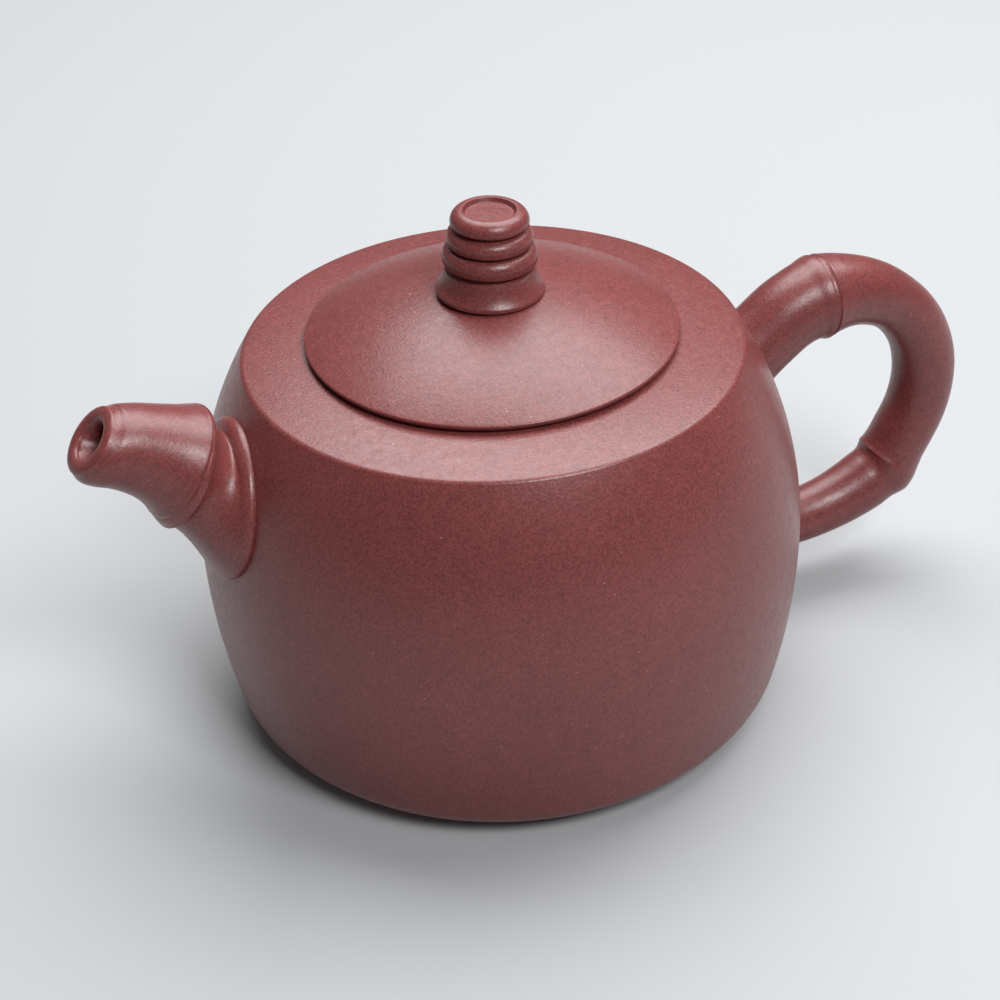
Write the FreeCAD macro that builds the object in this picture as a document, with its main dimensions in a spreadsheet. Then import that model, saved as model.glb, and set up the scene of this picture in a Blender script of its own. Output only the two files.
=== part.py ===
"""Yixing clay teapot: a beaten-slab body with a press lid, a bamboo spout and a bamboo handle.

Millimetres, +Z up. The origin is the centre of the foot's rest plane. The spout points along -X and the
handle along +X. The pot is luted together from separately made clay pieces, which here meet face to face,
and the lid with its flange and knob lifts off along +Z.
"""
import FreeCAD, Part
import math
import os
import Sketcher

SIZES = {
    # body, turned about Z
    "belly_radius": 47.05,
    "belly_height": 28.0,
    "lower_arc": 100.0,
    "corner_arc": 5.0,
    "shoulder_radius": 37.6,
    "shoulder_height": 60.7,
    "shoulder_round": 1.2,
    "wall": 3.5,
    "foot_height": 2.0,
    "foot_outer": 38.5,
    "foot_inner": 34.5,
    "foot_ease": 0.6,
    # opening and lid
    "seat_height": 62.0,
    "seat_radius": 28.6,
    "mouth_radius": 24.0,
    "collar_inner": 21.4,
    "collar_depth": 7.0,
    "lid_gap": 0.15,
    "flange_gap": 0.4,
    "flange_wall": 2.6,
    "flange_depth": 10.0,
    "flange_ease": 0.6,
    "lid_radius": 28.0,
    "lid_rim": 1.1,
    "lid_ease": 0.4,
    "lid_crown": 64.0,
    "lid_thickness": 3.2,
    "vent_radius": 1.1,
    "vent_offset": 12.5,
    # knob, four tiers on the lid; a seam is the underside of the tier above it
    "knob_foot_radius": 8.15,
    "knob_foot_height": 69.2,
    "knob_foot_edge": 0.6,
    "knob_foot_flare": 7.0,
    "knob_low_seam": 74.4,
    "knob_high_seam": 77.4,
    "knob_cap_seam": 80.1,
    "knob_ring_low": 6.55,
    "knob_ring_high": 5.95,
    "knob_ring_bow": 1.5,
    "knob_groove": 0.35,
    "knob_cap": 5.95,
    "knob_cap_round": 1.6,
    "knob_dish": 3.9,
    "knob_dish_depth": 0.6,
    "knob_top": 82.8,
    # spout: its centre line lies in the XZ plane; a tilt is the flow's angle above the horizontal
    "spout_root_out": 43.6,
    "spout_root_high": 45.7,
    "spout_root_tilt": 17.5,
    "spout_root_depth": 6.0,
    "spout_root_radius": 12.1,
    "spout_node_out": 48.8,
    "spout_node_high": 52.3,
    "spout_node_tilt": 34.5,
    "spout_node_radius": 9.2,
    "spout_crest_out": 49.7,
    "spout_crest_high": 54.1,
    "spout_crest_tilt": 39.5,
    "spout_crest_radius": 8.5,
    "spout_neck_out": 51.9,
    "spout_neck_high": 55.9,
    "spout_neck_tilt": 41.0,
    "spout_neck_radius": 7.45,
    "spout_pipe_out": 56.0,
    "spout_pipe_high": 58.0,
    "spout_pipe_tilt": 36.0,
    "spout_pipe_radius": 6.5,
    "spout_lip_out": 60.3,
    "spout_lip_high": 59.7,
    "spout_lip_tilt": 38.0,
    "spout_lip_radius": 6.0,
    "spout_tip_out": 61.6,
    "spout_tip_high": 60.9,
    "spout_tip_tilt": 43.5,
    "spout_tip_radius": 5.0,
    "spout_hole": 3.0,
    "spout_pipe_bore": 3.7,
    "spout_drill": 5.4,
    # strainer behind the spout: a centre hole and one row round it
    "strainer_radius": 9.0,
    "strainer_wall": 1.8,
    "strainer_hole": 1.1,
    "strainer_row": 34.0,
    "strainer_out": 41.0,
    "strainer_high": 43.5,
    # handle: a straight root, three arcs and a knee in the XZ plane, angles about each arc's centre
    "root_run": 12.0,
    "root_straight": 124.0,
    "root_arc": 15.0,
    "bow_out": 57.8,
    "bow_high": 34.1,
    "bow_arc": 19.9,
    "bow_upper_node": 91.0,
    "bow_straight": -28.0,
    "bow_run": 8.7,
    "tail_start": -56.0,
    "tail_arc": 33.0,
    "tail_turn": 52.0,
    "root_radius": 6.3,
    "root_foot_radius": 6.9,
    "upper_node_radius": 6.9,
    "bow_shoulder_radius": 5.85,
    "bow_waist_radius": 4.95,
    "bow_radius": 5.3,
    "lower_node_radius": 6.0,
    "tail_radius": 4.65,
    "tail_foot_radius": 5.3,
}

class Size:
    """A number together with the sheet expression that gives it."""

    def __init__(self, value, text):
        self.value = value
        self.text = text

    def __add__(self, other):
        other = sized(other)
        return Size(self.value + other.value, f"({self.text} + {other.text})")

    def __sub__(self, other):
        other = sized(other)
        return Size(self.value - other.value, f"({self.text} - {other.text})")

    def __mul__(self, other):
        other = sized(other)
        return Size(self.value * other.value, f"({self.text} * {other.text})")

    def __truediv__(self, other):
        other = sized(other)
        return Size(self.value / other.value, f"({self.text} / {other.text})")

    def root(self):
        return Size(math.sqrt(self.value), f"sqrt({self.text})")

    def sine(self):
        return Size(math.sin(math.radians(self.value)), f"sin({self.text})")

    def cosine(self):
        return Size(math.cos(math.radians(self.value)), f"cos({self.text})")


def sized(number):
    """The number itself if it is a Size, else a Size that is only a constant."""
    if isinstance(number, Size):
        return number
    return Size(float(number), f"{number:g}")


class Sheet:
    """The spreadsheet of driving dimensions, read as sheet.belly_radius and so on."""

    def __init__(self, document, sizes):
        cells = document.addObject("Spreadsheet::Sheet", "Sizes")
        for row, (name, value) in enumerate(sizes.items(), start=1):
            cells.set(f"A{row}", name)
            cells.set(f"B{row}", str(value))
            cells.setAlias(f"B{row}", name)
            setattr(self, name, Size(value, f"Sizes.{name}"))
        document.recompute()


doc = FreeCAD.newDocument("teapot")
size = Sheet(doc, SIZES)
ZERO = sized(0)
LEFT, RIGHT = 1, -1          # the side of the travel direction on which an arc's centre lies


def bind(thing, field, amount):
    """Set a property from the sheet."""
    thing.setExpression(field, sized(amount).text)


def arc_between(start, end, radius, side):
    """The sketch arc from start to end, and which of its ends is the start."""
    chord = end - start
    half = chord.Length / 2
    across = FreeCAD.Vector(-chord.y, chord.x, 0).normalize() * side
    centre = (start + end) / 2 + across * math.sqrt(radius ** 2 - half ** 2)
    first, last = (start, end) if side == LEFT else (end, start)
    angles = [math.atan2(point.y - centre.y, point.x - centre.x) for point in (first, last)]
    if angles[1] < angles[0]:
        angles[1] += 2 * math.pi
    circle = Part.Circle(centre, FreeCAD.Vector(0, 0, 1), radius)
    return Part.ArcOfCircle(circle, *angles), 1 if side == LEFT else 2


def draw_outline(sketch, corners):
    """A closed outline with every corner and arc radius bound to the sheet.

    A corner is (out, high), or (out, high, arc radius, side) when an arc leaves it for the next corner.
    """
    spots = [FreeCAD.Vector(sized(c[0]).value, sized(c[1]).value, 0) for c in corners]
    starts = []
    for index, corner in enumerate(corners):
        here, following = spots[index], spots[(index + 1) % len(spots)]
        if len(corner) == 2:
            sketch.addGeometry(Part.LineSegment(here, following), False)
            starts.append(1)
        else:
            radius = sized(corner[2])
            arc, start = arc_between(here, following, radius.value, corner[3])
            sketch.addGeometry(arc, False)
            starts.append(start)
            held = sketch.addConstraint(Sketcher.Constraint("Radius", index, radius.value))
            bind(sketch, f"Constraints[{held}]", radius)
    for index, start in enumerate(starts):
        after = (index + 1) % len(starts)
        sketch.addConstraint(Sketcher.Constraint("Coincident", index, 3 - start, after, starts[after]))
    for index, corner in enumerate(corners):
        for kind, amount in zip(("DistanceX", "DistanceY"), corner):
            amount = sized(amount)
            held = sketch.addConstraint(
                Sketcher.Constraint(kind, -1, 1, index, starts[index], amount.value))
            bind(sketch, f"Constraints[{held}]", amount)


def turned(label, corners):
    """A PartDesign body turned about Z from its outline in the XZ plane."""
    body = doc.addObject("PartDesign::Body", label)
    sketch = body.newObject("Sketcher::SketchObject", f"{label}_outline")
    plane = next(item for item in body.Origin.OriginFeatures if item.Role == "XZ_Plane")
    sketch.AttachmentSupport = [(plane, "")]
    sketch.MapMode = "FlatFace"
    draw_outline(sketch, corners)
    turn = body.newObject("PartDesign::Revolution", f"{label}_turn")
    turn.Profile = sketch
    turn.ReferenceAxis = (sketch, ["V_Axis"])
    turn.Angle = 360
    doc.recompute()
    return body


def ring(label, out, high, tilt, radius):
    """A circle across a centre line in the XZ plane; tilt is its normal's angle from +Z to +X."""
    circle = doc.addObject("Part::Circle", label)
    circle.Placement = FreeCAD.Placement(FreeCAD.Vector(), FreeCAD.Rotation(FreeCAD.Vector(0, 1, 0), 1))
    bind(circle, "Radius", radius)
    bind(circle, "Placement.Base.x", out)
    bind(circle, "Placement.Base.z", high)
    bind(circle, "Placement.Rotation.Angle", tilt)
    return circle


def skinned(label, stations):
    """A solid skinned over rings, each given as (out, high, tilt, radius)."""
    loft = doc.addObject("Part::Loft", label)
    loft.Sections = [ring(f"{label}_ring_{index}", *station) for index, station in enumerate(stations)]
    loft.Solid = True
    loft.Ruled = False
    return loft


def boolean(kind, label, base, tool):
    """Part::Cut or Part::Common of two objects."""
    result = doc.addObject(kind, label)
    result.Base = base
    result.Tool = tool
    return result


# ---- the body's outer curve -------------------------------------------------------------------------

rise = size.shoulder_height - size.belly_height
tuck = size.belly_radius - size.shoulder_radius
upper_arc = (rise * rise + tuck * tuck) / (tuck * 2)
upper_centre = size.belly_radius - upper_arc
lower_centre = size.belly_radius - size.lower_arc
corner_high = size.foot_height + size.corner_arc
corner_span = size.lower_arc - size.corner_arc
corner_drop = size.belly_height - corner_high
base_radius = lower_centre + (corner_span * corner_span - corner_drop * corner_drop).root()
seam_high = size.shoulder_height - size.wall


def upper_radius(high, inset):
    """Radius of the body's upper curve, moved in by inset, at a height."""
    arc = upper_arc - inset
    up = high - size.belly_height
    return upper_centre + (arc * arc - up * up).root()


def corner_end(inset):
    """Where the bottom corner's arc meets the lower curve, both moved in by inset."""
    share = (size.lower_arc - inset) / corner_span
    out = lower_centre + (base_radius - lower_centre) * share
    high = size.belly_height - corner_drop * share
    return out, high


def flank(inset, top_high):
    """The body's curve from the base's edge up to top_high, moved in by inset."""
    return [
        (base_radius, size.foot_height + inset, size.corner_arc - inset, LEFT),
        (*corner_end(inset), size.lower_arc - inset, LEFT),
        (size.belly_radius - inset, size.belly_height, upper_arc - inset, LEFT),
        (upper_radius(top_high, inset), top_high),
    ]


def backwards(corners):
    """The same curve drawn the other way."""
    steps = [(*corner[:2], *arc[2:3], RIGHT) for corner, arc in zip(corners[:0:-1], corners[-2::-1])]
    return [*steps, corners[0][:2]]


def solid_form(label, inset, top_high):
    """The body's curve filled to the axis."""
    bottom = size.foot_height + inset
    return turned(label, [(ZERO, bottom), *flank(inset, top_high), (ZERO, top_high)])


outer_form = solid_form("outer_form", ZERO, size.shoulder_height)
cavity_form = solid_form("cavity_form", size.wall, seam_high)


# ---- the body ---------------------------------------------------------------------------------------

def make_base_disc():
    disc = doc.addObject("Part::Cylinder", "base_disc")
    bind(disc, "Radius", base_radius)
    bind(disc, "Height", size.wall)
    bind(disc, "Placement.Base.z", size.foot_height)
    return disc


def make_foot_ring():
    ease = size.foot_ease
    top = size.foot_height
    return turned("foot_ring", [
        (size.foot_inner, ease),
        (size.foot_inner + ease, ZERO),
        (size.foot_outer - ease, ZERO),
        (size.foot_outer, ease),
        (size.foot_outer, top),
        (size.foot_inner, top),
    ])


def make_body_wall(bore):
    shell = turned("wall_shell", [*flank(ZERO, seam_high), *backwards(flank(size.wall, seam_high))])
    return boolean("Part::Cut", "body_wall", shell, bore)


def make_shoulder_disc():
    disc = turned("shoulder_disc", [
        (size.mouth_radius, size.seat_height - size.wall),
        (upper_radius(seam_high, size.wall), seam_high),
        (upper_radius(seam_high, ZERO), seam_high, upper_arc, LEFT),
        (size.shoulder_radius, size.shoulder_height),
        (size.seat_radius, size.seat_height),
        (size.mouth_radius, size.seat_height),
    ])
    edges = [f"Edge{index}" for index, edge in enumerate(disc.Shape.Edges, start=1)
             if isinstance(edge.Curve, Part.Circle)
             and abs(edge.Curve.Radius - SIZES["shoulder_radius"]) < 0.01]
    turn = disc.Tip
    eased = disc.newObject("PartDesign::Fillet", "shoulder_edge")
    eased.Base = (turn, edges)
    bind(eased, "Radius", size.shoulder_round)
    return disc


def make_mouth_collar():
    low = size.seat_height - size.collar_depth
    return turned("mouth_collar", [
        (size.collar_inner, low),
        (size.mouth_radius, low),
        (size.mouth_radius, size.seat_height),
        (size.collar_inner, size.seat_height),
    ])


# ---- the spout --------------------------------------------------------------------------------------

def spout_station(out, high, angle, radius):
    """A ring across the spout; angle is the direction of flow above the horizontal."""
    return ZERO - out, high, sized(angle) - 90, radius


def part_way(start, end, share):
    """A value a share of the way from start to end."""
    return start + (end - start) * share


def spout_line(place, radius=None):
    """The ring at a named place on the spout, or one of another radius there."""
    named = [getattr(size, f"spout_{place}_{field}") for field in ("out", "high", "tilt", "radius")]
    return spout_station(*named[:3], named[3] if radius is None else radius)


def root_line(share, flare):
    """A ring a share of the way from the wall to the node.

    Flare is 1 for the radius at the wall and 0 for the radius at the node.
    """
    return spout_station(
        part_way(size.spout_root_out, size.spout_node_out, share),
        part_way(size.spout_root_high, size.spout_node_high, share),
        part_way(size.spout_root_tilt, size.spout_node_tilt, share),
        part_way(size.spout_node_radius, size.spout_root_radius, flare))


def inside_root(depth, radius):
    """A ring set back into the wall from the flare."""
    return spout_station(
        size.spout_root_out - size.spout_root_tilt.cosine() * depth,
        size.spout_root_high - size.spout_root_tilt.sine() * depth,
        size.spout_root_tilt, radius)


def make_spout_bore():
    """The tea's way from the chamber to the tip, as one solid to cut with."""
    beyond = 1
    return skinned("spout_bore", [
        inside_root(size.spout_root_depth * 2, size.spout_drill),
        spout_line("node", size.spout_drill),
        spout_line("pipe", size.spout_pipe_bore),
        spout_line("lip", size.spout_hole),
        spout_station(size.spout_tip_out + beyond, size.spout_tip_high + beyond,
                      size.spout_tip_tilt, size.spout_hole),
    ])


# where the flare's rings stand between the wall and the node, and how flared each is
FLARE = ((0, 1), (0.35, 0.35), (0.75, 0), (1, 0))


def make_spout_root(bore):
    seat = inside_root(size.spout_root_depth, size.spout_root_radius)
    flare = skinned("spout_flare", [seat, *[root_line(*station) for station in FLARE]])
    seated = boolean("Part::Cut", "spout_flare_seated", flare, outer_form)
    return boolean("Part::Cut", "spout_root", seated, bore)


def make_spout_nozzle(bore):
    places = ("node", "crest", "neck", "pipe", "lip", "tip")
    nozzle = skinned("spout_taper", [spout_line(place) for place in places])
    return boolean("Part::Cut", "spout_nozzle", nozzle, bore)


def make_ball_strainer():
    """A pierced dome over the spout's hole, inside the wall."""
    centre = FreeCAD.Vector(-SIZES["strainer_out"], 0, SIZES["strainer_high"])
    balls = []
    for label, radius in (("strainer_ball", size.strainer_radius),
                          ("strainer_hollow", size.strainer_radius - size.strainer_wall)):
        ball = doc.addObject("Part::Sphere", label)
        ball.Placement.Base = centre
        bind(ball, "Radius", radius)
        balls.append(ball)
    shell = boolean("Part::Cut", "strainer_shell", *balls)
    clear = SIZES["strainer_wall"] / 2
    start = SIZES["strainer_radius"] - SIZES["strainer_wall"] - clear
    drills = []
    for row, lean, count in (("centre", 0, 1), ("row", SIZES["strainer_row"], 6)):
        for index in range(count):
            drill = doc.addObject("Part::Cylinder", f"strainer_drill_{row}_{index}")
            bind(drill, "Radius", size.strainer_hole)
            bind(drill, "Height", size.strainer_wall + clear * 2)
            around = FreeCAD.Rotation(FreeCAD.Vector(1, 0, 0), index * 360 / count)
            tipped = FreeCAD.Rotation(FreeCAD.Vector(0, 1, 0), 90 - lean)
            turn = around * tipped
            drill.Placement = FreeCAD.Placement(centre + turn * FreeCAD.Vector(0, 0, start), turn)
            drills.append(drill)
    compound = doc.addObject("Part::Compound", "strainer_drills")
    compound.Links = drills
    pierced = boolean("Part::Cut", "strainer_pierced", shell, compound)
    return boolean("Part::Common", "ball_strainer", pierced, cavity_form)


# ---- the handle -------------------------------------------------------------------------------------

def on_arc(centre, arc, angle, radius):
    """A ring at an angle on an arc of the handle's centre line."""
    angle = sized(angle)
    return (centre[0] + arc * angle.cosine(), centre[1] + arc * angle.sine(), sized(180) - angle, radius)


def arc_centre(point, arc, angle):
    """Centre of the arc that passes through a point at an angle."""
    return point[0] - arc * angle.cosine(), point[1] - arc * angle.sine()


def run_on(ring_at, angle, run):
    """A ring moved on along its own normal, clockwise as seen along +Y, from the angle it stands at."""
    out, high, tilt, radius = ring_at
    return out + run * angle.sine(), high - run * angle.cosine(), tilt, radius


bow_centre = (size.bow_out, size.bow_high)
upper_node = on_arc(bow_centre, size.bow_arc, size.bow_upper_node, size.upper_node_radius)
root_centre = arc_centre(upper_node, size.root_arc, size.bow_upper_node)
bow_end = on_arc(bow_centre, size.bow_arc, size.bow_straight, size.bow_radius)
knee_point = run_on(bow_end, size.bow_straight, size.bow_run)
tail_centre = arc_centre(knee_point, size.tail_arc, size.tail_start)
mitre = (size.bow_straight + size.tail_start) / 2
knee = (*knee_point[:2], sized(180) - mitre, size.lower_node_radius)


def root_ring(back, radius, drop=0):
    """A ring on the straight root, back towards the wall; drop moves it to the handle's inside."""
    ring_at = on_arc(root_centre, size.root_arc - drop, size.root_straight, radius)
    return run_on(ring_at, size.root_straight, size.root_run * -back)


def half(first, second):
    return part_way(first, second, 0.5)


def rings_along(centre, arc, start, end, radii):
    """Rings on an arc, each (share of the way from the start angle to the end angle, radius)."""
    return [on_arc(centre, arc, part_way(start, end, share), radius) for share, radius in radii]


def make_handle_root():
    swell = size.root_foot_radius - size.root_radius
    bend = rings_along(root_centre, size.root_arc, size.root_straight, size.bow_upper_node, [
        (0, size.root_radius),
        (0.5, size.root_radius),
        (0.85, half(size.root_radius, size.upper_node_radius)),
    ])
    arm = skinned("handle_root_arm", [
        root_ring(1, size.root_foot_radius, swell),
        root_ring(0.6, half(size.root_radius, size.root_foot_radius), swell / 2),
        *bend,
        upper_node,
    ])
    return boolean("Part::Cut", "handle_root", arm, outer_form)


def make_handle_bow():
    rings = rings_along(bow_centre, size.bow_arc, size.bow_upper_node, size.bow_straight, [
        (0, size.upper_node_radius),
        (0.03, half(size.bow_shoulder_radius, size.upper_node_radius)),
        (0.1, size.bow_shoulder_radius),
        (0.22, half(size.bow_waist_radius, size.bow_shoulder_radius)),
        (0.38, size.bow_waist_radius),
        (0.6, half(size.bow_waist_radius, size.bow_radius)),
        (0.8, size.bow_radius),
        (1, size.bow_radius),
    ])
    return skinned("handle_bow", [*rings, run_on(bow_end, size.bow_straight, size.bow_run / 2), knee])


def make_handle_tail():
    tail_end = size.tail_start - size.tail_turn
    rings = rings_along(tail_centre, size.tail_arc, size.tail_start, tail_end, [
        (0.12, half(size.tail_radius, size.lower_node_radius)),
        (0.34, size.tail_radius),
        (0.7, size.tail_radius),
        (1, size.tail_foot_radius),
    ])
    arm = skinned("handle_tail_arm", [knee, *rings])
    return boolean("Part::Cut", "handle_tail", arm, outer_form)


# ---- the lid ----------------------------------------------------------------------------------------

lid_low = size.seat_height + size.lid_gap
rim_top = lid_low + size.lid_rim
dome_centre = rim_top - (size.lid_crown * size.lid_crown - size.lid_radius * size.lid_radius).root()
flange_outer = size.collar_inner - size.flange_gap
flange_inner = flange_outer - size.flange_wall


def dome_height(out, inset):
    """Height of the lid's dome, moved in by inset, at a radius."""
    arc = size.lid_crown - inset
    return dome_centre + (arc * arc - out * out).root()


def make_lid_plate():
    ease = size.lid_ease
    under = size.lid_crown - size.lid_thickness
    plate = turned("lid_dome", [
        (flange_inner, lid_low),
        (size.lid_radius - ease, lid_low),
        (size.lid_radius, lid_low + ease),
        (size.lid_radius, rim_top, size.lid_crown, LEFT),
        (ZERO, dome_centre + size.lid_crown),
        (ZERO, dome_centre + under, under, RIGHT),
        (flange_inner, dome_height(flange_inner, size.lid_thickness)),
    ])
    vent = doc.addObject("Part::Cylinder", "vent")
    bind(vent, "Radius", size.vent_radius)
    bind(vent, "Height", size.knob_foot_height - lid_low)
    bind(vent, "Placement.Base.y", size.vent_offset)
    bind(vent, "Placement.Base.z", lid_low)
    return boolean("Part::Cut", "lid_plate", plate, vent)


def make_lid_flange():
    low = lid_low - size.flange_depth
    ease = size.flange_ease
    return turned("lid_flange", [
        (flange_inner, low),
        (flange_outer - ease, low),
        (flange_outer, low + ease),
        (flange_outer, lid_low),
        (flange_inner, lid_low),
    ])


def make_knob():
    """Four tiers like stacked rings of bamboo, with a shallow dish in the top."""
    foot_edge = size.knob_foot_radius - size.knob_foot_edge
    side_top = size.knob_top - size.knob_cap_round
    dish_floor = size.knob_top - size.knob_dish_depth
    groove = size.knob_groove
    bow = size.knob_ring_bow
    return turned("knob", [
        (ZERO, dome_centre + size.lid_crown, size.lid_crown, RIGHT),
        (foot_edge, dome_height(foot_edge, ZERO)),
        (size.knob_foot_radius, size.knob_foot_height + size.knob_foot_edge, size.knob_foot_flare, RIGHT),
        (size.knob_ring_low - groove, size.knob_low_seam - groove),
        (size.knob_ring_low, size.knob_low_seam, bow, LEFT),
        (size.knob_ring_high - groove, size.knob_high_seam - groove),
        (size.knob_ring_high, size.knob_high_seam, bow, LEFT),
        (size.knob_cap - groove * 2, size.knob_cap_seam - groove),
        (size.knob_cap - groove, size.knob_cap_seam),
        (size.knob_cap, size.knob_cap_seam + groove),
        (size.knob_cap, side_top, size.knob_cap_round, LEFT),
        (size.knob_cap - size.knob_cap_round, size.knob_top),
        (size.knob_dish, size.knob_top),
        (size.knob_dish - size.knob_dish_depth, dish_floor),
        (ZERO, dish_floor),
    ])


# ---- build, test and write --------------------------------------------------------------------------

def write_nodes(nodes):
    """Stop at anything failed or malformed, then write one STEP file for each node."""
    doc.recompute()
    failed = [item.Label for item in doc.Objects if {"Invalid", "Error"} & set(item.State)]
    if failed:
        raise RuntimeError(f"failed objects: {failed}")
    for node in nodes:
        if node.Shape.isNull() or not node.Shape.isValid():
            raise RuntimeError(f"bad shape: {node.Label}")
        if len(node.Shape.Solids) != 1:
            raise RuntimeError(f"not one solid: {node.Label}")
    os.makedirs("parts", exist_ok=True)
    for node in nodes:
        node.Shape.exportStep(os.path.join("parts", f"{node.Label}.step"))
        box = node.Shape.BoundBox
        print(f"{node.Label:15s} {node.Shape.Volume:9.1f} mm3  "
              f"X {box.XMin:6.1f} {box.XMax:6.1f}  Y {box.YMin:6.1f} {box.YMax:6.1f}  "
              f"Z {box.ZMin:6.1f} {box.ZMax:6.1f}")


spout_bore = make_spout_bore()
write_nodes([
    make_base_disc(),
    make_foot_ring(),
    make_body_wall(spout_bore),
    make_shoulder_disc(),
    make_mouth_collar(),
    make_spout_root(spout_bore),
    make_spout_nozzle(spout_bore),
    make_ball_strainer(),
    make_handle_root(),
    make_handle_bow(),
    make_handle_tail(),
    make_lid_plate(),
    make_lid_flange(),
    make_knob(),
])
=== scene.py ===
import math

import bmesh
import bpy
import numpy as np
from mathutils import Matrix, Vector


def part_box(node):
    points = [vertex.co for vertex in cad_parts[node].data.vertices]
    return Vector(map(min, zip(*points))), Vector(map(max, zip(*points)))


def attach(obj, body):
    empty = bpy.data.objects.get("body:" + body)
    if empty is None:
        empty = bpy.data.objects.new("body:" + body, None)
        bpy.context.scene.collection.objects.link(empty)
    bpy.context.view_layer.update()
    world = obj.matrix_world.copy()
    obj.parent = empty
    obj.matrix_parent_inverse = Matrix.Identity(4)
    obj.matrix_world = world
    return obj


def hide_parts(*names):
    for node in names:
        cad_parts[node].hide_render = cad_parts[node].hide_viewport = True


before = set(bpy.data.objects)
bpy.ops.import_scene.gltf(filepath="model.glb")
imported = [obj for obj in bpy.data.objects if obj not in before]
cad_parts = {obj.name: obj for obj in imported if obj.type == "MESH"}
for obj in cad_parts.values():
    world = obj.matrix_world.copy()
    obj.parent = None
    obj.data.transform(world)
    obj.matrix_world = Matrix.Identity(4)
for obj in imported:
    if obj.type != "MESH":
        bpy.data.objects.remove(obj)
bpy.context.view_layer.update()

MM = 0.001
AROUND = 288          # steps round a turned piece
TUBE = 96             # steps round the spout and the handle
Y_AXIS = Vector((0, 1, 0))
NEAR_AXIS = 0.02      # radius, in mm, where a turned outline meets its axis


# ---- camera -----------------------------------------------------------------------------------------

def make_camera():
    """Looks down at the pot from its spout side, with the spout a little towards the lens."""
    toward_spout = math.radians(21.5)
    distance = 0.2592
    height = 0.212
    pitch = math.radians(34.85)
    roll = math.radians(-2.7)
    data = bpy.data.cameras.new("camera")
    data.lens = 72
    data.sensor_width = 36
    data.clip_start = 0.01
    camera = bpy.data.objects.new("camera", data)
    bpy.context.scene.collection.objects.link(camera)
    place = Vector((-math.sin(toward_spout) * distance, -math.cos(toward_spout) * distance, height))
    turn = Matrix.Rotation(-toward_spout, 4, "Z") @ Matrix.Rotation(math.pi / 2 - pitch, 4, "X")
    camera.matrix_world = Matrix.Translation(place) @ turn @ Matrix.Rotation(roll, 4, "Z")
    bpy.context.scene.camera = camera


make_camera()


# ---- mesh helpers -----------------------------------------------------------------------------------

def finish_mesh(piece, sharp_degrees=38):
    """Smooth shading, with the edges sharper than an angle left crisp, and normals outward."""
    mesh = bmesh.new()
    mesh.from_mesh(piece.data)
    bmesh.ops.remove_doubles(mesh, verts=mesh.verts, dist=1e-7)
    bmesh.ops.recalc_face_normals(mesh, faces=mesh.faces)
    limit = math.radians(sharp_degrees)
    for face in mesh.faces:
        face.smooth = True
    for edge in mesh.edges:
        edge.smooth = not edge.is_manifold or edge.calc_face_angle(0) < limit
    mesh.to_mesh(piece.data)
    mesh.free()
    return piece


def new_piece(name, points, faces):
    mesh = bpy.data.meshes.new(name)
    mesh.from_pydata([tuple(point) for point in points], [], faces)
    piece = bpy.data.objects.new(name, mesh)
    bpy.context.scene.collection.objects.link(piece)
    return piece


def skin_rings(name, rings, closed_loop=False):
    """A closed surface over rings of equal point counts; its ends are capped unless it loops."""
    steps = len(rings[0])
    points = [point for ring in rings for point in ring]
    faces = []
    spans = len(rings) if closed_loop else len(rings) - 1
    for level in range(spans):
        here, there = level * steps, (level + 1) % len(rings) * steps
        for step in range(steps):
            after = (step + 1) % steps
            faces.append((here + step, here + after, there + after, there + step))
    if not closed_loop:
        faces.append(tuple(range(steps))[::-1])
        faces.append(tuple((len(rings) - 1) * steps + step for step in range(steps)))
    return finish_mesh(new_piece(name, points, faces))


def turn_outline(name, outline):
    """A turned solid from a closed outline of (radius, height) in mm; points on the axis merge."""
    angles = [2 * math.pi * step / AROUND for step in range(AROUND)]
    rings = [[Vector((r * math.cos(a), r * math.sin(a), z)) * MM for a in angles] for r, z in outline]
    return skin_rings(name, rings, closed_loop=True)


def arc(centre, radius, start, end, steps=12):
    """Points on an arc in mm, angles in degrees."""
    angles = np.radians(np.linspace(start, end, steps + 1))
    return [(centre[0] + radius * math.cos(a), centre[1] + radius * math.sin(a)) for a in angles]


def eased(corners, steps=6):
    """An outline whose corners are rounded; a corner is (radius, height) or has its rounding third."""
    result = []
    for index, corner in enumerate(corners):
        here = Vector(corner[:2])
        if len(corner) == 2 or corner[2] == 0:
            result.append(tuple(here))
            continue
        before = (Vector(corners[index - 1][:2]) - here).normalized()
        after = (Vector(corners[(index + 1) % len(corners)][:2]) - here).normalized()
        half = before.angle(after) / 2
        back = corner[2] / math.tan(half)
        for share in np.linspace(0, 1, steps + 1):
            start, end = here + before * back, here + after * back
            flat = start.lerp(end, share)
            centre = here + (before + after).normalized() * (corner[2] / math.sin(half))
            result.append(tuple(centre + (flat - centre).normalized() * corner[2]))
    return result


def smooth_through(keys, at):
    """Monotone cubic through (place, value) keys, read at the given places."""
    place, value = np.array(keys, float).T
    gap = np.diff(place)
    slope = np.diff(value) / gap
    tangent = np.zeros(len(place))
    for index in range(1, len(place) - 1):
        if slope[index - 1] * slope[index] > 0:
            near, far = 2 * gap[index] + gap[index - 1], gap[index] + 2 * gap[index - 1]
            tangent[index] = (near + far) / (near / slope[index - 1] + far / slope[index])
    tangent[0], tangent[-1] = slope[0], slope[-1]
    at = np.clip(at, place[0], place[-1])
    span = np.clip(np.searchsorted(place, at, side="right") - 1, 0, len(gap) - 1)
    share = (at - place[span]) / gap[span]
    return ((2 * share ** 3 - 3 * share ** 2 + 1) * value[span]
            + (share ** 3 - 2 * share ** 2 + share) * gap[span] * tangent[span]
            + (3 * share ** 2 - 2 * share ** 3) * value[span + 1]
            + (share ** 3 - share ** 2) * gap[span] * tangent[span + 1])


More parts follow.
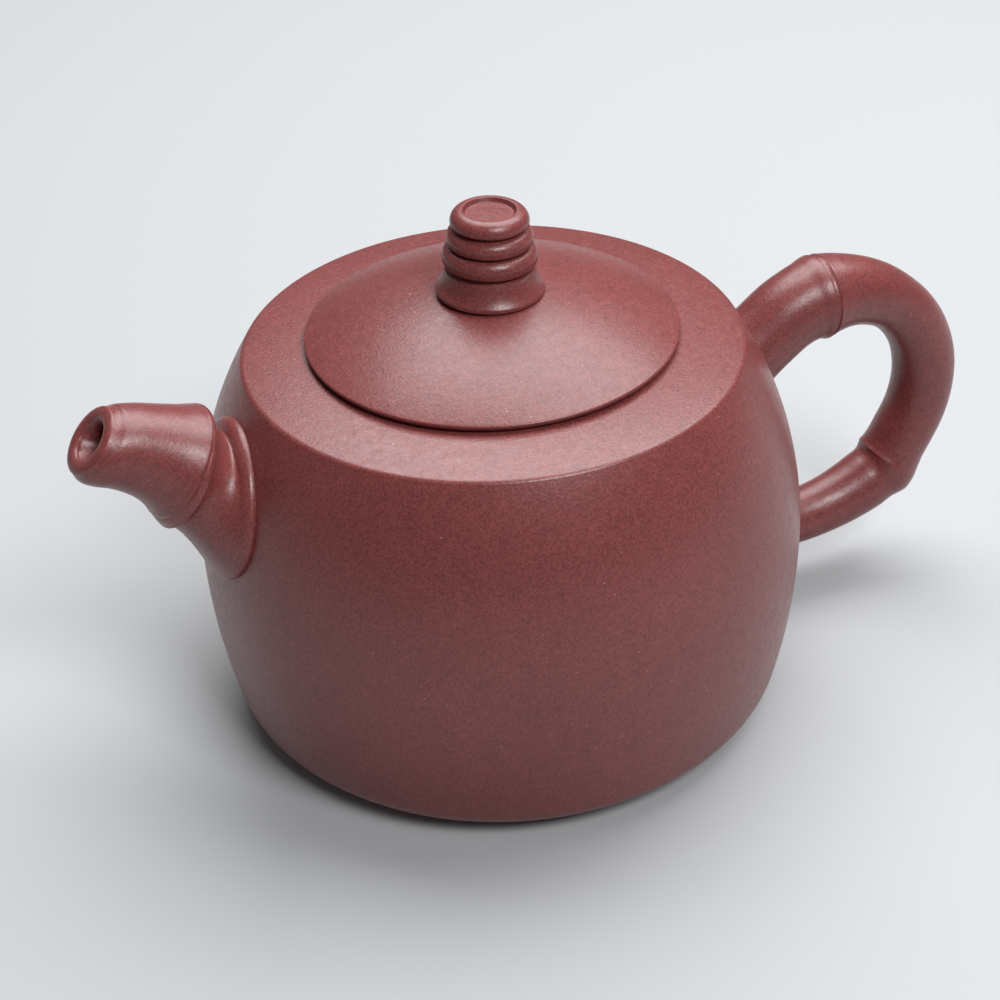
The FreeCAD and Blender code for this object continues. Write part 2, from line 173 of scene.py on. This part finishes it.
def ring_across(centre, angle, tall, wide=None):
    """Points round a ring in mm; angle is its normal's direction in the XZ plane, in degrees from +X."""
    lean = math.radians(angle)
    across = Vector((-math.sin(lean), 0, math.cos(lean)))
    wide = tall if wide is None else wide
    turns = [2 * math.pi * step / TUBE for step in range(TUBE)]
    return [(centre + across * tall * math.cos(a) + Y_AXIS * wide * math.sin(a)) * MM for a in turns]


# ---- the body ---------------------------------------------------------------------------------------

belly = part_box("body_wall")[1].y / MM
foot_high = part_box("base_disc")[0].z / MM
base_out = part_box("base_disc")[1].x / MM
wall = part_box("base_disc")[1].z / MM - foot_high
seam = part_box("body_wall")[1].z / MM
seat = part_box("shoulder_disc")[1].z / MM
BELLY_HIGH = 28.0
LOWER_ARC = 100.0
CORNER_ARC = 5.0
SHOULDER_OUT = 37.6
SHOULDER_HIGH = 60.7
SEAT_OUT = 28.6

rise = SHOULDER_HIGH - BELLY_HIGH
tuck = belly - SHOULDER_OUT
UPPER_ARC = (rise ** 2 + tuck ** 2) / (2 * tuck)
upper_centre = (belly - UPPER_ARC, BELLY_HIGH)
lower_centre = (belly - LOWER_ARC, BELLY_HIGH)
corner_centre = (base_out, foot_high + CORNER_ARC)
corner_end = math.degrees(math.asin((corner_centre[1] - BELLY_HIGH) / (LOWER_ARC - CORNER_ARC)))


def upper_angle(high, inset=0.0):
    return math.degrees(math.asin((high - BELLY_HIGH) / (UPPER_ARC - inset)))


def flank(inset, top):
    """The body's curve from the base's edge up to a height, moved in by inset."""
    return (arc(corner_centre, CORNER_ARC - inset, -90, corner_end, 10)
            + arc(lower_centre, LOWER_ARC - inset, corner_end, 0, 16)[1:]
            + arc(upper_centre, UPPER_ARC - inset, 0, upper_angle(top, inset), 28)[1:])


def wall_radius(high):
    """The body's outer radius at a height, in mm."""
    if high >= BELLY_HIGH:
        return upper_centre[0] + math.sqrt(UPPER_ARC ** 2 - (high - BELLY_HIGH) ** 2)
    return lower_centre[0] + math.sqrt(LOWER_ARC ** 2 - (high - BELLY_HIGH) ** 2)


def make_body():
    """The bellied wall, from the base's edge to the seam under the shoulder."""
    outline = flank(0, seam) + flank(wall, seam)[::-1]
    return turn_outline("body_wall_turned", outline)


def make_shoulder():
    """The top slab: the last of the body's curve, an eased edge, a gentle slope and the lid's seat."""
    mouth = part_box("mouth_collar")[1].x / MM
    inner = flank(wall, seam)[-1]
    edge = arc(upper_centre, UPPER_ARC, upper_angle(seam), upper_angle(SHOULDER_HIGH), 10)
    corners = [(mouth, seat - wall), inner, *edge[:-1], (*edge[-1], 1.1), (SEAT_OUT, seat), (mouth, seat)]
    return turn_outline("shoulder_turned", eased(corners, 8))


# ---- the lid ----------------------------------------------------------------------------------------

lid_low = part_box("lid_plate")[0].z / MM
lid_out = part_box("lid_plate")[1].x / MM
lid_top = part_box("lid_plate")[1].z / MM
flange_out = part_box("lid_flange")[1].x / MM
flange_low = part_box("lid_flange")[0].z / MM
knob_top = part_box("knob")[1].z / MM
LID_RIM = 1.1
FLANGE_WALL = 2.6
LID_THICK = 3.2
VENT = 1.1            # radius of the air hole
VENT_BEHIND = 12.5    # its distance behind the knob's axis
LOW_SEAM = 73.9       # a seam is the groove under a tier of the knob
HIGH_SEAM = 76.95
CAP_SEAM = 79.95
KNOB_LEAN = 2.0       # degrees, as luted by hand
crown = ((lid_top - lid_low - LID_RIM) ** 2 + lid_out ** 2) / (2 * (lid_top - lid_low - LID_RIM))


def dome(inset, start_out, end_out, steps):
    """The lid's dome, moved in by inset, between two radii."""
    radius = crown - inset
    angles = [math.degrees(math.acos(out / radius)) for out in (start_out, end_out)]
    return arc((0, lid_top - crown), radius, *angles, steps)


def make_lid():
    """The domed plate, open in the middle of its underside, with its thin rim resting on the seat."""
    inner = flange_out - FLANGE_WALL
    corners = [
        (inner, lid_low),
        (lid_out - 0.7, lid_low, 0.3),
        (lid_out - 0.15, lid_low + 0.5),
        (lid_out, lid_low + LID_RIM - 0.25),
        *[(*point, 0.35) if index == 0 else point
          for index, point in enumerate(dome(0, lid_out, NEAR_AXIS, 40))],
        *dome(LID_THICK, NEAR_AXIS, inner, 24),
    ]
    return cut_vent(turn_outline("lid_turned", eased(corners)))


def cut_vent(lid):
    """Bores the small air hole through the dome, behind the knob."""
    side = [(VENT, lid_low), (VENT, lid_top)]
    drill = turn_outline("vent_drill", [(NEAR_AXIS, lid_low), *side, (NEAR_AXIS, lid_top)])
    drill.data.transform(Matrix.Translation(Vector((0, VENT_BEHIND * MM, 0))))
    cut = lid.modifiers.new("vent", "BOOLEAN")
    cut.operation = "DIFFERENCE"
    cut.solver = "EXACT"
    cut.object = drill
    bored = bpy.data.meshes.new_from_object(lid.evaluated_get(bpy.context.evaluated_depsgraph_get()))
    lid.modifiers.clear()
    lid.data = bored
    bpy.data.objects.remove(drill)
    return finish_mesh(lid)


def make_flange():
    """The ring under the lid that drops into the collar."""
    inner = flange_out - FLANGE_WALL
    return turn_outline("lid_flange_turned", eased([
        (inner, flange_low, 0.5),
        (flange_out - 0.3, flange_low, 0.6),
        (flange_out, flange_low + 3),
        (flange_out, lid_low),
        (inner, lid_low),
    ]))


def make_knob():
    """Tiers like stacked rings of bamboo: a flared foot, two rings and a dished cap, with grooves between."""
    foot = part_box("knob")[1].x / MM
    base = lid_top - 0.45
    top = knob_top - 0.4
    knob = turn_outline("knob_turned", eased([
        (NEAR_AXIS, base - 0.6),
        (foot - 0.75, base - 0.75),
        (foot - 0.65, base + 0.15, 0.15),
        (foot, base + 0.35, 0.25),
        (foot - 0.05, base + 0.95, 0.4),
        *arc((foot + 4.4, base + 4.95), 6, 217, 190, 12),
        (5.7, LOW_SEAM - 0.1, 0.1),
        (5.75, LOW_SEAM + 0.15, 0.1),
        (6.95, LOW_SEAM + 0.3, 0.5),
        *arc((5.45, LOW_SEAM + 1.45), 1.6, -10, 62, 12),
        (5.2, HIGH_SEAM - 0.05, 0.1),
        (5.25, HIGH_SEAM + 0.15, 0.1),
        (6.25, HIGH_SEAM + 0.3, 0.45),
        *arc((4.95, HIGH_SEAM + 1.25), 1.4, -10, 62, 12),
        (4.7, CAP_SEAM - 0.05, 0.1),
        (4.75, CAP_SEAM + 0.15, 0.1),
        (5.75, CAP_SEAM + 0.25, 0.4),
        *arc((4.05, top - 1.75), 1.75, 0, 86, 14),
        (3.9, top - 0.02, 0.12),
        (3.6, top - 0.7, 0.15),
        (NEAR_AXIS, top - 0.6),
    ]))
    pivot = Matrix.Translation(Vector((0, 0, base * MM)))
    lean = Matrix.Rotation(math.radians(KNOB_LEAN), 4, Vector((0.37, 0.93, 0)))
    knob.data.transform(pivot @ lean @ pivot.inverted())
    return knob


# ---- the spout --------------------------------------------------------------------------------------

# share of the way to the tip, then the ring's distance out, height, tilt above the horizontal and radius
NOZZLE = [
    (0, 48.8, 52.3, 34.5, 9.1),
    (0.035, 49.05, 52.9, 36, 9.05),
    (0.06, 49.3, 53.4, 37, 8.92),
    (0.075, 49.45, 53.6, 37.8, 8.66),
    (0.09, 49.6, 53.85, 38.5, 8.7),
    (0.12, 49.9, 54.3, 40, 8.45),
    (0.25, 51.9, 55.9, 41, 7.45),
    (0.45, 54.6, 57.4, 37.5, 6.75),
    (0.65, 57.2, 58.6, 35, 6.35),
    (0.82, 59.3, 59.3, 35.5, 6.15),
    (0.92, 60.55, 59.8, 40, 5.85),
    (1, 61.2, 60.55, 43.5, 5.35),
]
BORE = [
    (0, 48.8, 52.3, 34.5, 5.4),
    (0.5, 55.3, 57.7, 30, 3.6),
    (0.8, 59.0, 59.6, 26, 2.5),
    (0.93, 60.45, 60.0, 34, 2.65),
    (1, 61.2, 60.4, 42, 3.05),
]
RIM_HIGH = 45.65      # the flare's outline on the wall: centre height, half height, half width
RIM_TALL = 11.4
RIM_WIDE = 12.4
RIM_DROOP = 0.11      # how much wider the outline is low down than high up
LIP_WIDE = 2.4        # half width of the roll round the flare's edge, at the sides
LIP_TALL = 1.5        # its half thickness at the sides
LIP_THINS = 0.5       # how much less both are at the bottom, and more at the top
LIP_START = 34        # where the flare runs on to the roll, degrees round it
LIP_END = 130         # where the roll meets the wall
INTO_WALL = 1.5       # how far the roll's edge is carried into the wall
BORE_START = (43.6, 45.7, 17.5)   # the bore's end at the wall: out, high, tilt
WAIST = 1.7           # how far the flare draws in below the node
FLARE_LEAD = 0.6      # how far the flare's run leans up the node from the rim's sides, radians


def spout_rings(keys, shares):
    """Rings at shares of the way from the node to the tip."""
    places = [key[0] for key in keys]
    columns = [smooth_through(list(zip(places, column)), shares) for column in list(zip(*keys))[1:]]
    return [ring_across(Vector((-out, 0, high)), 180 - tilt, radius)
            for out, high, tilt, radius in zip(*columns)]


def make_nozzle():
    """The upper segment: its skin out to the lip, the rounded lip, and the bore back to the node."""
    lip_out, lip_high, lip_tilt, lip_radius = NOZZLE[-1][1:]
    flow = Vector((-math.cos(math.radians(lip_tilt)), 0, math.sin(math.radians(lip_tilt))))
    hole = BORE[-1][-1]
    middle, half = (lip_radius + hole) / 2, (lip_radius - hole) / 2
    rings = spout_rings(NOZZLE, np.concatenate([np.linspace(0, 0.13, 27), np.linspace(0.14, 1, 50)]))
    for angle in np.linspace(15, 165, 13):
        turn = math.radians(angle)
        centre = Vector((-lip_out, 0, lip_high)) + flow * half * math.sin(turn) * 0.55
        rings.append(ring_across(centre, 180 - lip_tilt, middle + half * math.cos(turn)))
    rings += spout_rings(BORE, np.linspace(1, 0, 30))
    return skin_rings("spout_nozzle_skinned", rings, closed_loop=True)


def flare_column(turn, node, back, radius):
    """Points in mm down the flare, from the node over the roll on to the wall; turn 0 is the bottom."""
    lead = turn - FLARE_LEAD * math.sin(turn)
    down = Vector((back.z, 0, -back.x))
    radial = down * math.cos(lead) + Y_AXIS * math.sin(lead)
    start = node + radial * radius
    rim_high = RIM_HIGH - RIM_TALL * math.cos(turn)
    reach = wall_radius(rim_high)
    around = math.pi - RIM_WIDE * math.sin(turn) * (1 + RIM_DROOP * math.cos(turn)) / reach
    outward = Vector((math.cos(around), math.sin(around), 0))
    foot = outward * reach + Vector((0, 0, rim_high))
    sideways = (foot - Vector((-reach, 0, RIM_HIGH))).normalized()
    sideways = (sideways - outward * sideways.dot(outward)).normalized()
    tall = LIP_TALL - LIP_THINS * math.cos(turn)
    wide = LIP_WIDE - LIP_THINS * math.cos(turn)
    lip_centre = foot - sideways * wide + outward * tall * 0.2

    def on_lip(angle):
        bend = math.radians(angle)
        return lip_centre + sideways * math.sin(bend) * wide + outward * math.cos(bend) * tall

    crest = on_lip(LIP_START)
    along = (on_lip(LIP_START + 1) - crest).normalized()
    length = (crest - start).length
    pull = start + back * length * 0.14 - radial * WAIST
    hold = crest - along * length * 0.28
    column = []
    for share in np.linspace(0, 1, 30):
        away = 1 - share
        column.append(start * away ** 3 + pull * 3 * away ** 2 * share
                      + hold * 3 * away * share ** 2 + crest * share ** 3)
    column += [on_lip(angle) for angle in np.linspace(LIP_START, LIP_END, 18)[1:]]
    column.append(column[-1] - outward * INTO_WALL)
    return column


def make_root():
    """The flared segment between the wall and the node, with its thick lip rounded down on to the wall."""
    out, high, tilt, radius = NOZZLE[0][1:]
    node = Vector((-out, 0, high))
    back = Vector((math.cos(math.radians(tilt)), 0, -math.sin(math.radians(tilt))))
    columns = [flare_column(2 * math.pi * step / TUBE, node, back, radius) for step in range(TUBE)]
    rings = [[column[row] * MM for column in columns] for row in range(len(columns[0]))]
    bore = BORE[0][-1]
    wall_out, wall_high, wall_tilt = BORE_START
    rings.append(ring_across(Vector((-wall_out, 0, wall_high)), 180 - wall_tilt, bore))
    rings.append(ring_across(node, 180 - tilt, bore))
    return skin_rings("spout_root_skinned", rings, closed_loop=True)


# ---- the handle -------------------------------------------------------------------------------------

BOW = (57.8, 34.1)    # the bow's centre, and then the radii of the three arcs
BOW_ARC = 19.9
ROOT_ARC = 15.0
TAIL_ARC = 33.0
ROOT_TURN = (126.5, 91.0)   # an arc's first and last angle about its centre, in degrees
BOW_TURN = (91.0, -28.0)
TAIL_TURN = (-56.0, -108.0)
ROOT_RUN = 12.0       # the straight runs, inside the wall and before the lower node
BOW_RUN = 8.7
PAST_NODE = 2         # the bow's crease comes this far past the lower node
STEP = 0.1            # spacing along the centre line, mm


def centre_line():
    """Points along the handle's centre line from inside the wall, and how far along its nodes are."""
    def spot(centre, radius, angle):
        angle = math.radians(angle)
        return (centre[0] + radius * math.cos(angle), centre[1] + radius * math.sin(angle))

    def sweep(centre, radius, turn):
        count = round(math.radians(abs(turn[1] - turn[0])) * radius / STEP)
        return [spot(centre, radius, angle) for angle in np.linspace(*turn, count + 1)]

    upper = spot(BOW, BOW_ARC, BOW_TURN[0])
    root_centre = spot(upper, -ROOT_ARC, ROOT_TURN[1])
    start = spot(root_centre, ROOT_ARC, ROOT_TURN[0])
    slope = math.radians(ROOT_TURN[0])
    line = [(start[0] - back * math.sin(slope), start[1] + back * math.cos(slope))
            for back in np.arange(ROOT_RUN, 0, -STEP)]
    line += sweep(root_centre, ROOT_ARC, ROOT_TURN)
    upper_at = (len(line) - 1) * STEP
    line += sweep(BOW, BOW_ARC, BOW_TURN)[1:]
    slope = math.radians(BOW_TURN[1])
    bend = line[-1]
    line += [(bend[0] + on * math.sin(slope), bend[1] - on * math.cos(slope))
             for on in np.arange(STEP, BOW_RUN + STEP / 2, STEP)]
    lower_at = (len(line) - 1) * STEP
    line += sweep(spot(line[-1], -TAIL_ARC, TAIL_TURN[0]), TAIL_ARC, TAIL_TURN)[1:]
    return np.array(line), upper_at, lower_at


def handle_segment(name, line, start, end, radii):
    """A stretch of the handle; radii are (mm along the line, radius)."""
    back, ahead = 12, 32      # points looked over for the heading, so that a knee is mitred
    padded = np.pad(line, ((back, ahead), (0, 0)), mode="reflect", reflect_type="odd")
    heading = padded[back + ahead:] - padded[:-back - ahead]
    first, last = round(start / STEP), round(end / STEP)
    places = sorted({*range(first, last + 1, 3), first, last})
    rings = []
    for place, radius in zip(places, smooth_through(radii, np.array(places) * STEP)):
        angle = math.degrees(math.atan2(heading[place][1], heading[place][0]))
        rings.append(ring_across(Vector((line[place][0], 0, line[place][1])), angle, radius))
    return skin_rings(name, rings)


def make_handle():
    """Three bamboo segments: each swells at its nodes, with a groove or crease where two meet."""
    line, upper, lower = centre_line()
    end = (len(line) - 1) * STEP
    joint = lower + PAST_NODE
    root = handle_segment("handle_root_skinned", line, 0, upper, [
        (0, 6.9), (5, 6.25), (9, 6.1), (upper - 6, 6.2), (upper - 3.4, 6.42), (upper - 1.9, 6.85),
        (upper - 1.5, 6.9), (upper - 1.2, 6.5), (upper - 0.95, 6.48), (upper - 0.6, 6.75), (upper, 6.6)])
    bow = handle_segment("handle_bow_skinned", line, upper, joint, [
        (upper, 6.6), (upper + 1.2, 6.4), (upper + 2.5, 6.15), (upper + 4.5, 5.85), (upper + 9, 5.35),
        (upper + 15, 4.93), (upper + 22, 5.03), (upper + 30, 5.2), (lower - 5, 5.18), (lower - 3, 5.35),
        (lower - 1, 5.7), (lower + 0.3, 5.64), (joint - 0.8, 5.36), (joint, 5.14)])
    tail = handle_segment("handle_tail_skinned", line, joint, end, [
        (joint, 5.14), (joint + 0.8, 5.1), (joint + 2, 5.13), (joint + 4.5, 5.03),
        (joint + 10, 4.75), (joint + 17, 4.6), (end - 5, 4.75), (end, 5.6)])
    return root, bow, tail


# ---- clay -------------------------------------------------------------------------------------------

def clay(name, colour, roughness, grain=1.0):
    """Burnished unglazed clay: mottled, fine-grained, with a few pale mica flecks."""
    material = bpy.data.materials.new(name)
    material.use_nodes = True
    nodes, links = material.node_tree.nodes, material.node_tree.links
    shader = nodes["Principled BSDF"]
    place = nodes.new("ShaderNodeTexCoord").outputs["Object"]

    def noise(scale, detail, rough=0.5):
        node = nodes.new("ShaderNodeTexNoise")
        node.inputs["Scale"].default_value = scale
        node.inputs["Detail"].default_value = detail
        node.inputs["Roughness"].default_value = rough
        links.new(place, node.inputs["Vector"])
        return node.outputs["Fac"]

    def spread(source, low, high, from_low=0.3, from_high=0.7):
        node = nodes.new("ShaderNodeMapRange")
        limits = {"From Min": from_low, "From Max": from_high, "To Min": low, "To Max": high}
        for socket, value in limits.items():
            node.inputs[socket].default_value = value
        links.new(source, node.inputs["Value"])
        return node.outputs["Result"]

    def combine(kind, first, second):
        node = nodes.new("ShaderNodeMath")
        node.operation = kind
        for socket, value in zip(node.inputs, (first, second)):
            if isinstance(value, float):
                socket.default_value = value
            else:
                links.new(value, socket)
        return node.outputs["Value"]

    mottle = spread(noise(38, 3), 0.93, 1.07)
    patch = spread(noise(420, 3), 0.95, 1.05)
    grit = spread(noise(2700, 2, 0.8), 1 - 0.3 * grain, 1 + 0.36 * grain, 0.34, 0.66)
    shade = combine("MULTIPLY", combine("MULTIPLY", mottle, patch), grit)
    tint = nodes.new("ShaderNodeVectorMath")
    tint.operation = "SCALE"
    tint.inputs[0].default_value = colour
    links.new(shade, tint.inputs["Scale"])

    cells = nodes.new("ShaderNodeTexVoronoi")
    cells.inputs["Scale"].default_value = 760
    links.new(place, cells.inputs["Vector"])
    near = spread(cells.outputs["Distance"], 1.0, 0.0, 0.04, 0.11)
    pick = nodes.new("ShaderNodeSeparateColor")
    links.new(cells.outputs["Color"], pick.inputs["Color"])
    few = combine("GREATER_THAN", pick.outputs["Red"], 0.9)
    fleck = combine("MULTIPLY", combine("MULTIPLY", near, few), 0.5)
    paint = nodes.new("ShaderNodeMix")
    paint.data_type = "RGBA"
    paint.inputs["B"].default_value = (0.62, 0.42, 0.34, 1)
    links.new(fleck, paint.inputs["Factor"])
    links.new(tint.outputs["Vector"], paint.inputs["A"])
    links.new(paint.outputs["Result"], shader.inputs["Base Color"])

    links.new(spread(noise(900, 3), roughness - 0.05, roughness + 0.06), shader.inputs["Roughness"])
    shader.inputs["Specular IOR Level"].default_value = 0.5
    grains = combine("MULTIPLY", noise(2100, 2, 0.7), 0.9)
    swells = combine("MULTIPLY", noise(260, 2), 0.9)
    relief = combine("ADD", grains, swells)
    bump = nodes.new("ShaderNodeBump")
    bump.inputs["Strength"].default_value = 0.45 * grain
    bump.inputs["Distance"].default_value = 0.00008
    links.new(relief, bump.inputs["Height"])
    links.new(bump.outputs["Normal"], shader.inputs["Normal"])
    return material


burnished = clay("zisha_burnished", (0.165, 0.037, 0.035), 0.34)
raw = clay("zisha_raw_clay", (0.18, 0.052, 0.046), 0.62, grain=1.6)


def dress(piece, material, body=None, replaced=()):
    """Give a piece its material, and where it is new, parent it to what it rides on and hide the CAD parts it
    stands for.
    """
    piece.data.materials.clear()
    piece.data.materials.append(material)
    if body:
        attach(piece, body)
        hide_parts(*replaced)


dress(make_body(), burnished, "pot", ["body_wall"])
dress(make_shoulder(), burnished, "pot", ["shoulder_disc"])
dress(make_lid(), burnished, "lid", ["lid_plate"])
dress(make_flange(), raw, "lid", ["lid_flange"])
dress(make_knob(), burnished, "lid", ["knob"])
dress(make_nozzle(), burnished, "pot", ["spout_nozzle"])
dress(make_root(), burnished, "pot", ["spout_root"])
for segment, node in zip(make_handle(), ("handle_root", "handle_bow", "handle_tail")):
    dress(segment, burnished, "pot", [node])
for node in ("base_disc", "foot_ring", "mouth_collar", "ball_strainer"):
    dress(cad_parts[node], raw)


# ---- floor and light --------------------------------------------------------------------------------

def make_floor():
    half = 1.5
    corners = [(-half, -half, 0), (half, -half, 0), (half, half, 0), (-half, half, 0)]
    floor = new_piece("floor", corners, [(0, 1, 2, 3)])
    material = bpy.data.materials.new("floor_paper")
    material.use_nodes = True
    shader = material.node_tree.nodes["Principled BSDF"]
    shader.inputs["Base Color"].default_value = (0.42, 0.425, 0.43, 1)
    shader.inputs["Roughness"].default_value = 0.9
    floor.data.materials.append(material)


def area_light(name, place, aim, size, power, colour=(1, 1, 1)):
    data = bpy.data.lights.new(name, "AREA")
    data.shape = "RECTANGLE"
    data.size, data.size_y = size
    data.energy = power
    data.color = colour
    light = bpy.data.objects.new(name, data)
    light.location = place
    light.rotation_euler = (Vector(aim) - Vector(place)).to_track_quat("-Z", "Y").to_euler()
    bpy.context.scene.collection.objects.link(light)


def make_light():
    world = bpy.data.worlds.new("studio")
    world.use_nodes = True
    sky = world.node_tree.nodes["Background"]
    sky.inputs["Color"].default_value = (1, 1, 1, 1)
    sky.inputs["Strength"].default_value = 0.14
    bpy.context.scene.world = world
    area_light("overhead", (0.22, 0.24, 0.72), (0, 0, 0.04), (0.9, 0.6), 11, (0.97, 0.985, 1.0))
    area_light("front_window", (0.1, -0.5, 0.62), (0, 0, 0.05), (0.3, 0.24), 4.3, (0.95, 0.975, 1.0))
    bpy.context.scene.view_settings.view_transform = "Standard"


make_floor()
make_light()
